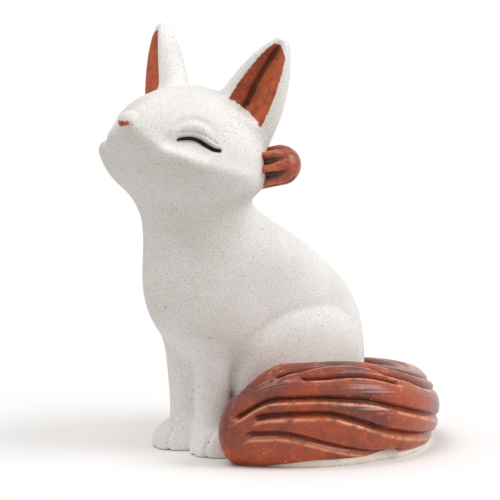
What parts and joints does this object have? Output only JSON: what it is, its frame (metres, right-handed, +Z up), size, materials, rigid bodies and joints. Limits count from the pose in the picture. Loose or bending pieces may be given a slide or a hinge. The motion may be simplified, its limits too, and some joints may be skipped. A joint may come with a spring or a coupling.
{
  "type": "fox figurine",
  "caption": "Sitting stoneware fox figurine with raised face, closed eyes, glazed ears and a carved tail curled round its side.",
  "frame": {"origin": "on the table plane below the middle of the torso, between the hips", "axes": "+Z is up, the fox faces -Y and its left side, with the tail, is +X"},
  "size_m": [0.0826, 0.0954, 0.1173],
  "materials": {
    "stoneware": "matte",
    "ear_glaze": "satin",
    "tuft_glaze": "satin",
    "tail_glaze": "gloss",
    "eye_stain": "matte",
    "bare_clay": "matte"
  },
  "bodies": {
    "root": {"torso": "stoneware", "head": "stoneware", "left_eye_line": "eye_stain", "right_eye_line": "eye_stain", "nose_glaze": "ear_glaze", "left_ear": "stoneware", "right_ear": "stoneware", "left_ear_lining": "ear_glaze", "right_ear_lining": "ear_glaze", "left_cheek_tuft": "tuft_glaze", "right_cheek_tuft": "tuft_glaze", "left_foreleg": "stoneware", "right_foreleg": "stoneware", "left_hind_leg": "stoneware", "right_hind_leg": "stoneware", "tail": "tail_glaze", "tail_foot": "bare_clay"}
  },
  "joints": []
}
